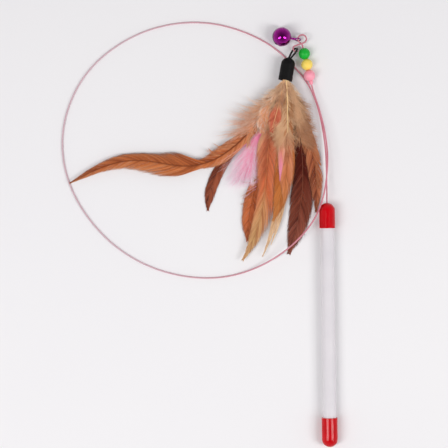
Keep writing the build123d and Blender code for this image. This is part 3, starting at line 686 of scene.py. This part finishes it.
# Brown and rust feathers: two dyed hackles, glued in above the dark ones. The brown one lies down the right
# side and is near black on its inner vane. The rust one is broad, with a rounded tip to the left. Both have a
# few loose pale strands.
brown_finish = feather_finish(
    "feather_warm_brown",
    [(0.05, (200, 158, 120)), (0.3, (206, 132, 88)), (0.6, (198, 114, 74)), (1.0, (184, 104, 72))],
    edge=(208, 148, 108), deep=(80, 16, 8), quill=(186, 118, 82))
shaft = Shaft(side=1.2, row=-2, bends=[(15.0, -33.0), (23.0, -55.0)], tip=(19.5, -87.0))
brown = Feather(shaft, seed=13, rise=0.15)
brown.vane([(0.2, 2.6, 2.2), (0.4, 5.4, 3.8), (0.6, 6.4, 4.8), (0.8, 5.4, 4.6), (0.92, 3.2, 2.8),
            (1.0, 0.5, 0.5)], lean=(40, 16), begin=0.22, splits=[(0.6, 1, 4)], ragged=0.1, tone=(-0.16, 0.14))
brown.down(span=(0.02, 0.3), count=200, length=(3, 9, 9), lean=(20, 50, 45))
brown.down(span=(0.5, 0.78), count=75, length=(9, 10, 7), lean=(28, 24, 18), width=0.25, sides=(1,),
           tone=0.35, scatter=6.0, tuft=3)
seat(brown.make("brown_hackle", brown_finish), "brown_feather")

rust_finish = feather_finish(
    "feather_rust",
    [(0.05, (206, 160, 120)), (0.4, (210, 114, 68)), (0.8, (216, 116, 68)), (1.0, (200, 110, 68))],
    edge=(172, 116, 80), deep=(140, 64, 34), quill=(196, 112, 72), hem=0.5)
RUST_BENDS = [(-6.5, -45.9), (-27.5, -75.3)]
RUST_TIP = (-25.5, -105.6)
rust = Feather(Shaft(side=-1.2, row=-2, bends=RUST_BENDS, tip=RUST_TIP), seed=14, thin=0.16)
rust.vane([(0.25, 2.0, 2.0), (0.5, 4.0, 4.0), (0.66, 5.6, 5.0), (0.8, 6.0, 5.2), (0.92, 4.8, 4.0),
           (1.0, 1.2, 1.2)], lean=(44, 26), begin=0.22, ragged=0.03)
rust.down(span=(0.02, 0.3), count=160, length=(3, 9, 10), lean=(20, 45, 40))
rust.down(span=(0.6, 0.76), count=45, length=(12, 13, 11), lean=(46, 44, 38), width=0.3, sides=(-1,),
          tone=0.45, tuft=3, curl=6.0, short=0.4)
seat(rust.make("rust_hackle", rust_finish), "rust_feather")

# Right plume: a short, fluffy saddle feather, nearly all down, that is browner than the left one. Its quill
# is glued in on the cap's right, and its strands stand out to that side.
right_finish = feather_finish(
    "feather_brown_fluff",
    [(0.0, (250, 218, 178)), (0.35, (246, 206, 162)), (0.7, (232, 176, 130)), (1.0, (212, 148, 104))],
    edge=(190, 128, 92), deep=(176, 124, 88), quill=(232, 196, 150), streak=0.2, hem=0.8, sheen=0.3)
RIGHT_BENDS = [(5.5, -12.0), (8.6, -25.0)]
RIGHT_TIP = (10.5, -42.0)
right = Feather(Shaft(side=1.5, row=-1, bends=RIGHT_BENDS, tip=RIGHT_TIP), seed=15)
right.down(span=(0.0, 0.98), count=1200, length=(4, 13.4, 14.8), lean=(18, 62, 60), rise=(-0.5, 0.9),
           width=0.14, sides=(1,), scatter=9.0, tuft=4, taper=0.8)
right.down(span=(0.0, 0.9), count=640, length=(5, 11, 11), lean=(16, 48, 38), rise=(-0.5, 1.0), width=0.15,
           sides=(-1,), short=0.4)
right.down(span=(0.0, 0.7), count=640, length=(12, 15, 13), lean=(8, 16, 24), rise=(0.8, 2.6), width=0.17,
           scatter=10.0, short=0.5)
seat(right.make("right_fluff", right_finish), "right_plume")

# Long feather: a slim dyed hackle, glued in on the left, that reaches as far as the wire's ring. It narrows
# to a waist where the vane is rucked. Beyond the waist the upper vane is darkened as painted shade and the
# lower vane lightened as painted light of the fold.
# The quill's near-black colour is a painted shadow line, where the upper vane's shade falls along the fold.
long_finish = feather_finish(
    "feather_long_brown",
    [(0.05, (214, 170, 130)), (0.2, (214, 134, 90)), (0.4, (200, 108, 58)),
     (0.6, (206, 120, 68)), (0.85, (192, 106, 60)), (0.94, (180, 106, 68)), (1.0, (150, 88, 56))],
    edge=(232, 176, 130), deep=(132, 60, 30), quill=(112, 50, 22), streak=0.2)
shaft = Shaft(side=-1.5, row=0.4, bends=[(-3.8, -12.0), (-66.9, -109.6), (-76.0, -34.4), (-98.2, -42.7)],
              tip=(-143.1, -65.9))
long = Feather(shaft, seed=16, thick=QUILL_D * 1.2, rise=0.4, horn=0.8)
long_outline = [
    (0.12, 1.5, 1.5), (0.2, 3.6, 3.6), (0.31, 5.4, 4.4), (0.37, 6.8, 5.4), (0.42, 6.4, 5.6),
    (0.45, 4.6, 4.4), (0.476, 2.6, 2.8), (0.505, 4.2, 3.6), (0.545, 8.0, 5.8), (0.592, 10.0, 8.8),
    (0.65, 6.8, 9.2), (0.69, 5.2, 8.6), (0.757, 5.0, 6.4), (0.809, 5.0, 4.6), (0.883, 3.4, 2.8),
    (0.95, 2.0, 1.7), (1.0, 0.3, 0.3),
]
# Tones by part: beyond the waist the upper vane's lower tone is painted shade and the lower vane's higher
# tone is painted light, for the fold.
for begin, end, tone in ((0.12, 0.4, (0.0, 0.08)), (0.4, 0.58, (-0.2, 0.0)), (0.58, 1.0, (-0.2, 0.1))):
    long.vane(long_outline, lean=(34, 15), begin=begin, end=end, tone=tone)
long.down(span=(0.02, 0.2), count=200, length=(3, 8, 10), lean=(20, 50, 45))
long.down(span=(0.28, 0.4), count=45, length=(12, 15, 14), lean=(46, 44, 40), width=0.3, sides=(-1,),
          tone=0.4, scatter=6.0, tuft=3, curl=4.0, short=0.4)
seat(long.make("long_hackle", long_finish), "long_feather")

# Marabou: a tuft of dyed pink down on a thin shaft, fading to white at its ends, glued in under the left
# plume. A few of its strands have strayed over the rust feather, and one narrow pink feather of the same dye
# lies higher, in the middle of the bunch.
marabou_finish = feather_finish(
    "marabou_pink",
    [(0.3, (252, 140, 172)), (0.5, (250, 136, 172)), (0.8, (252, 144, 184)), (1.0, (250, 158, 190))],
    edge=(253, 244, 250), deep=(240, 134, 178), quill=(240, 160, 200), streak=0.15, hem=1.0,
    fade=(0.35, 0.8), sheen=0.3)
shaft = Shaft(side=-1.5, row=0, bends=[(-10.0, -20.0), (-21.0, -36.0)], tip=(-27.5, -67.0))
marabou = Feather(shaft, seed=17, rise=0.0, reach=0.7)
for side, length, lean, curl in ((-1, (34, 36, 22), (6, 13, 26), 6.0), (1, (31, 27, 16), (20, 18, 12), 4.0)):
    marabou.down(span=(0.46, 0.86), count=1000, length=length, lean=lean, rise=(-0.4, 0.6), width=0.16,
                 wave=0.9, sides=(side,), curl=curl, short=0.5, taper=0.85, flat=0.12)
over_rust = Shaft(side=-1.2, row=-1.4, bends=RUST_BENDS, tip=RUST_TIP)
marabou.down(span=(0.5, 0.68), count=33, length=(15, 17, 14), lean=(54, 50, 44), rise=(0.0, 0.6), width=0.2,
             sides=(-1,), tone=0.5, tuft=3, curl=6.0, shaft=over_rust)
seat(marabou.make("pink_down", marabou_finish, smooth=False), "pink_marabou")

sliver_finish = feather_finish(
    "feather_pink_sliver",
    [(0.5, (246, 204, 164)), (0.68, (228, 148, 116)), (0.82, (238, 144, 164)), (1.0, (238, 156, 196))],
    edge=(238, 166, 176), deep=(214, 116, 130), quill=(240, 190, 170), streak=0.2)
shaft = Shaft(side=0.2, row=3.5, bends=[(-2.0, -22.0), (-3.0, -45.0)], tip=(-4.2, -65.7))
sliver = Feather(shaft, seed=24, thick=QUILL_D * 0.7, rise=-0.6, reach=0.8)
sliver.vane([(0.5, 1.0, 1.0), (0.68, 2.8, 3.2), (0.8, 2.2, 2.5), (0.9, 1.3, 1.5), (1.0, 0.2, 0.2)],
            lean=(14, 8), begin=0.5)
seat(sliver.make("pink_sliver", sliver_finish), "pink_marabou")

# Amber feather: a slim dyed hackle, golden brown, in the middle of the bunch. Its quill is glued in on the
# cap's right, and its root is loose down.
amber_finish = feather_finish(
    "feather_amber",
    [(0.05, (220, 178, 134)), (0.35, (210, 130, 78)), (0.55, (200, 108, 44)), (1.0, (206, 134, 74))],
    edge=(214, 142, 84), deep=(158, 80, 28), quill=(214, 150, 90))
shaft = Shaft(side=1.5, row=2.4, bends=[(2.0, -39.5), (1.0, -65.9)], tip=(-9.0, -92.5))
amber = Feather(shaft, seed=18)
amber.vane([(0.2, 2.2, 2.2), (0.4, 6.0, 4.4), (0.62, 7.8, 6.8), (0.8, 6.4, 6.4), (0.92, 3.6, 3.8),
            (1.0, 0.4, 0.4)], lean=(30, 11), begin=0.22)
amber.down(span=(0.02, 0.34), count=240, length=(3, 9, 8), lean=(18, 40, 36))
seat(amber.make("amber_hackle", amber_finish), "amber_feather")

# Left plume: a fluffy saddle feather, glued in over the marabou's root. Its longest strands lie level to the
# left, tan and then pale at their ends, and a short rounded feather of the same tan covers its root.
fluff_finish = feather_finish(
    "feather_fluff",
    [(0.0, (252, 220, 180)), (0.3, (250, 198, 150)), (0.6, (244, 168, 120)), (1.0, (238, 156, 106))],
    edge=(253, 246, 236), deep=(206, 152, 114), quill=(232, 196, 150), streak=0.2, hem=0.8,
    fade=(0.48, 1.0), sheen=0.35)
shaft = Shaft(side=-1.2, row=1, bends=[(-9.0, -12.9), (-18.3, -22.7)], tip=(-26.5, -43.0))
fluff = Feather(shaft, seed=19)
fluff.down(span=(0.0, 0.78), count=860, length=(3, 12, 30), lean=(16, 54, 54), rise=(-0.5, 0.7), width=0.15,
           sides=(-1,), scatter=10.0, tuft=4, curl=6.0, short=0.3, taper=0.8)
fluff.down(span=(0.5, 0.8), count=240, length=(13, 15, 15), lean=(52, 56, 58), rise=(0.6, 1.3), width=0.15,
           sides=(-1,), tuft=4, short=0.4)
fluff.down(span=(0.0, 0.95), count=500, length=(5, 9, 8), lean=(16, 44, 30), rise=(-1.2, 1.2), width=0.15,
           sides=(1,))
fluff.down(span=(0.0, 0.6), count=420, length=(10, 12, 12), lean=(10, 20, 28), rise=(0.6, 1.9), width=0.15,
           scatter=10.0, short=0.5)
cover = Shaft(side=-0.5, row=2.8, bends=[(-5.0, -8.0), (-15.0, -16.0)], tip=(-15.5, -34.5))
fluff.vane([(0.45, 2.2, 2.2), (0.6, 4.2, 4.2), (0.75, 5.2, 5.2), (0.92, 4.8, 4.8), (1.0, 2.0, 2.0)],
           lean=(50, 34), begin=0.5, ragged=0.15, tone=(-0.1, -0.1), shaft=cover)
fluff.down(span=(0.2, 0.9), count=240, length=(6, 7, 5), lean=(34, 40, 24), rise=(0.0, 0.6), width=0.13,
           tone=0.1, shaft=cover)
seat(fluff.make("left_fluff", fluff_finish), "left_plume")

# Tan feathers: two long dyed hackles down the middle, glued in one over the other. The lower one is parted
# into narrow strips towards its tip, and the upper one is salmon-brown over its first half.
split_finish = feather_finish(
    "feather_split_tan",
    [(0.05, (220, 178, 134)), (0.35, (214, 162, 120)), (0.6, (208, 148, 98)),
     (0.8, (230, 188, 146)), (1.0, (240, 212, 178))],
    edge=(242, 216, 184), deep=(166, 112, 70), quill=(240, 208, 172))
shaft = Shaft(side=1.2, row=1, bends=[(3.8, -46.1), (-1.2, -82.3)], tip=(-16.2, -115.8))
split = Feather(shaft, seed=20, thin=0.2, rise=0.15)
split.vane([(0.2, 2.2, 2.2), (0.42, 4.8, 4.4), (0.6, 5.6, 4.4), (0.74, 4.0, 2.6), (0.88, 1.6, 1.4),
            (1.0, 0.4, 0.4)], lean=(36, 11), begin=0.22, splits=[(0.62, 1, 4), (0.7, -1, 4), (0.78, 1, 3)],
           ragged=0.12)
strip = Shaft(side=1.2, row=1, bends=[(5.0, -46.1), (2.0, -78.0)], tip=(-10.5, -108.0))
split.vane([(0.6, 1.6, 1.6), (0.8, 1.5, 1.4), (0.92, 0.9, 0.9), (1.0, 0.2, 0.2)], lean=(14, 8), begin=0.6,
           tone=(-0.1, 0.1), shaft=strip)
split.down(span=(0.02, 0.36), count=260, length=(3, 9, 8), lean=(18, 42, 36))
seat(split.make("split_tan_hackle", split_finish), "split_tan_feather")

tan_finish = feather_finish(
    "feather_tan",
    [(0.05, (248, 216, 176)), (0.2, (242, 202, 160)), (0.3, (212, 116, 82)),
     (0.56, (216, 110, 66)), (0.68, (214, 156, 104)), (0.85, (206, 166, 112)), (1.0, (218, 182, 138))],
    edge=(226, 174, 132), deep=(162, 90, 56), quill=(206, 140, 92))
shaft = Shaft(side=0.0, row=2, bends=[(-20.0, -40.0), (-5.0, -80.0)], tip=(-29.5, -118.2))
tan = Feather(shaft, seed=21, rise=0.2)
tan.vane([(0.2, 2.4, 4.0), (0.28, 5.6, 7.6), (0.36, 8.2, 8.8), (0.46, 8.6, 8.7), (0.54, 6.8, 8.6),
          (0.62, 5.0, 8.6), (0.78, 5.0, 7.6), (0.88, 4.0, 5.0), (1.0, 0.6, 0.6)],
         lean=(28, 10), begin=0.22, ragged=0.1)
tan.down(span=(0.02, 0.3), count=360, length=(3, 10, 9), lean=(16, 38, 32))
tan.down(span=(0.2, 0.36), count=160, length=(7, 9, 9), lean=(30, 28, 24), sides=(-1,))
tan.down(span=(0.32, 0.5), count=72, length=(9, 10, 9), lean=(28, 26, 22), width=0.22, sides=(-1,),
         scatter=5.0, tuft=3, short=0.4)
seat(tan.make("tan_hackle", tan_finish), "tan_feather")

# Top of the bunch: a small rust feather with a pale shaft, and a salmon one with a thick cream quill, dyed
# and glued in last. The salmon one fans over the middle, is tan and loose near the root, and spreads pale
# down over the right plume.
patch_finish = feather_finish(
    "feather_rust_patch",
    [(0.1, (248, 216, 176)), (0.42, (238, 190, 148)), (0.56, (206, 106, 78)), (1.0, (208, 112, 84))],
    edge=(216, 134, 104), deep=(156, 70, 48), quill=(244, 188, 138))
shaft = Shaft(side=-0.9, row=3.9, bends=[(-2.2, -9.7), (-6.0, -20.8)], tip=(-9.6, -34.0))
patch = Feather(shaft, seed=22, thin=0.3, rise=0.3, reach=0.92, horn=0.9)
patch.vane([(0.4, 1.2, 1.2), (0.55, 3.2, 3.0), (0.75, 4.6, 4.8), (0.9, 4.0, 4.2), (1.0, 1.2, 1.2)],
           lean=(44, 30), begin=0.4, tone=(-0.05, 0.02))
patch.down(span=(0.02, 0.45), count=240, length=(3, 7, 6), lean=(14, 34, 34))
patch.down(span=(-0.04, 0.1), count=260, length=(8, 9, 10), lean=(36, 32, 26), rise=(-1.2, 0.2), width=0.14,
           tone=0.1, scatter=12.0)
seat(patch.make("rust_patch", patch_finish), "rust_patch_feather")

salmon_finish = feather_finish(
    "feather_salmon",
    [(0.05, (250, 218, 178)), (0.4, (246, 210, 168)), (0.54, (222, 142, 104)),
     (0.74, (212, 126, 80)), (1.0, (206, 132, 70))],
    edge=(228, 168, 126), deep=(174, 98, 64), quill=(252, 216, 160))
shaft = Shaft(side=0.9, row=3, bends=[(1.6, -24.0), (2.0, -50.0)], tip=(-2.0, -81.0))
salmon = Feather(shaft, seed=23, thick=QUILL_D * 1.2, thin=0.4, rise=0.6, reach=0.42, horn=1.0)
salmon.vane([(0.1, 0.8, 0.8), (0.3, 4.4, 2.6), (0.5, 7.4, 2.4), (0.62, 7.0, 3.8), (0.74, 6.2, 5.2),
             (0.86, 4.2, 4.6), (1.0, 0.4, 0.4)], lean=(30, 11), begin=0.26, ragged=0.08)
salmon.down(span=(0.02, 0.5), count=260, length=(3, 9, 9), lean=(14, 32, 28), rise=(-0.4, 0.8), sides=(-1,))
salmon.down(span=(0.02, 0.5), count=420, length=(3, 11, 12), lean=(14, 44, 38), rise=(-0.4, 0.8), sides=(1,))
salmon.down(span=(0.0, 0.1), count=300, length=(8, 11, 12), lean=(10, 12, 16), rise=(-0.6, 0.5), width=0.14,
            tone=0.15)
salmon.down(span=(-0.02, 0.05), count=400, length=(8, 10, 12), lean=(34, 30, 24), rise=(-1.2, 0.4),
            width=0.14, tone=0.1, scatter=12.0)
salmon.down(span=(0.15, 0.48), count=660, length=(13, 19, 15), lean=(54, 48, 34), rise=(0.0, 0.6), width=0.12,
            sides=(-1,), tone=0.25)
salmon.down(span=(0.27, 0.42), count=480, length=(15, 18, 16), lean=(52, 48, 42), rise=(0.2, 0.8), width=0.14,
            sides=(-1,), tone=0.3, short=0.7)
over_right = Shaft(side=1.5, row=1.4, bends=RIGHT_BENDS, tip=RIGHT_TIP)
salmon.down(span=(0.02, 0.42), count=380, length=(12, 18, 19), lean=(6, 10, 12), rise=(0.0, 1.0), width=0.16,
            tone=0.25, scatter=12.0, shaft=over_right)
salmon.down(span=(0.42, 0.58), count=180, length=(10, 12, 9), lean=(12, 9, 6), rise=(0.7, 1.2), width=0.14,
            sides=(-1,), scatter=5.0, short=0.5)
seat(salmon.make("salmon_hackle", salmon_finish), "salmon_feather")

# Floor: a plain pale table top that the toy lies on, far wider than the toy. It only stages the object and is
# no part of it.
FLOOR_SIZE = 4.0
bpy.ops.mesh.primitive_plane_add(size=FLOOR_SIZE, location=(0, 0, TABLE_H * MM))
floor = bpy.context.object
floor.name = "floor"
floor_finish, tree, shader = new_finish("floor_pale", Roughness=0.8, Specular_IOR_Level=0.2)
pale = mottled(tree, light=(239, 237, 238), deep=(236, 234, 236), rough=(0.75, 0.85), patch=3.0, grain=30.0)
tree.links.new(pale["Colour"], shader.inputs["Base Color"])
floor.data.materials.append(floor_finish)

# Light: two large soft boxes, left and right of the handle's end, in a room that is darker overhead than near
# the horizon.
BOX_WIDTH = 0.28
BOX_LENGTH = 0.7
BOX_AIM = np.array((-0.07, 0.13, 0.0))
HORIZON = (0.86, 0.86, 0.87, 1)
OVERHEAD = (0.13, 0.13, 0.135, 1)
for name, spot, power in (
    ("left_box", (-0.62, -0.13, 1.0), 6.2),
    ("right_box", (0.70, -0.13, 1.0), 6.6),
):
    lamp = bpy.data.lights.new(name, "AREA")
    lamp.shape = "RECTANGLE"
    lamp.size = BOX_WIDTH
    lamp.size_y = BOX_LENGTH
    lamp.energy = power
    holder = bpy.data.objects.new(name, lamp)
    holder.location = spot
    aim = BOX_AIM - np.array(spot)
    tilt = math.atan2(math.hypot(aim[0], aim[1]), -aim[2])
    holder.rotation_euler = (tilt, 0, math.atan2(aim[1], aim[0]) - math.pi / 2)
    bpy.context.scene.collection.objects.link(holder)
world = bpy.data.worlds.new("room")
world.use_nodes = True
tree = world.node_tree
upward = place(tree, "SeparateXYZ", None, {0: place(tree, "TexCoord").outputs["Generated"]}).outputs[2]
room_light = mixed(tree, spread(tree, upward, 0.0, 1.0), HORIZON, OVERHEAD)
tree.links.new(room_light, tree.nodes["Background"].inputs["Color"])
bpy.context.scene.world = world

# Camera: straight above the table, turned a little so that the handle leans as it lies. Its lens shows the
# view's width at the height of the handle's axis.
VIEW_WIDTH = 0.29568
VIEW_HEIGHT = 1.0
VIEW_CENTRE = (-0.0681, 0.1286)
VIEW_TURN = math.radians(-0.709)
SENSOR_WIDTH = 36.0
eye = bpy.data.cameras.new("eye")
eye.sensor_width = SENSOR_WIDTH
eye.lens = SENSOR_WIDTH * VIEW_HEIGHT / VIEW_WIDTH
holder = bpy.data.objects.new("eye", eye)
holder.location = (*VIEW_CENTRE, VIEW_HEIGHT)
holder.rotation_euler = (0, 0, VIEW_TURN)
bpy.context.scene.collection.objects.link(holder)
bpy.context.scene.camera = holder
bpy.context.scene.view_settings.view_transform = "Standard"
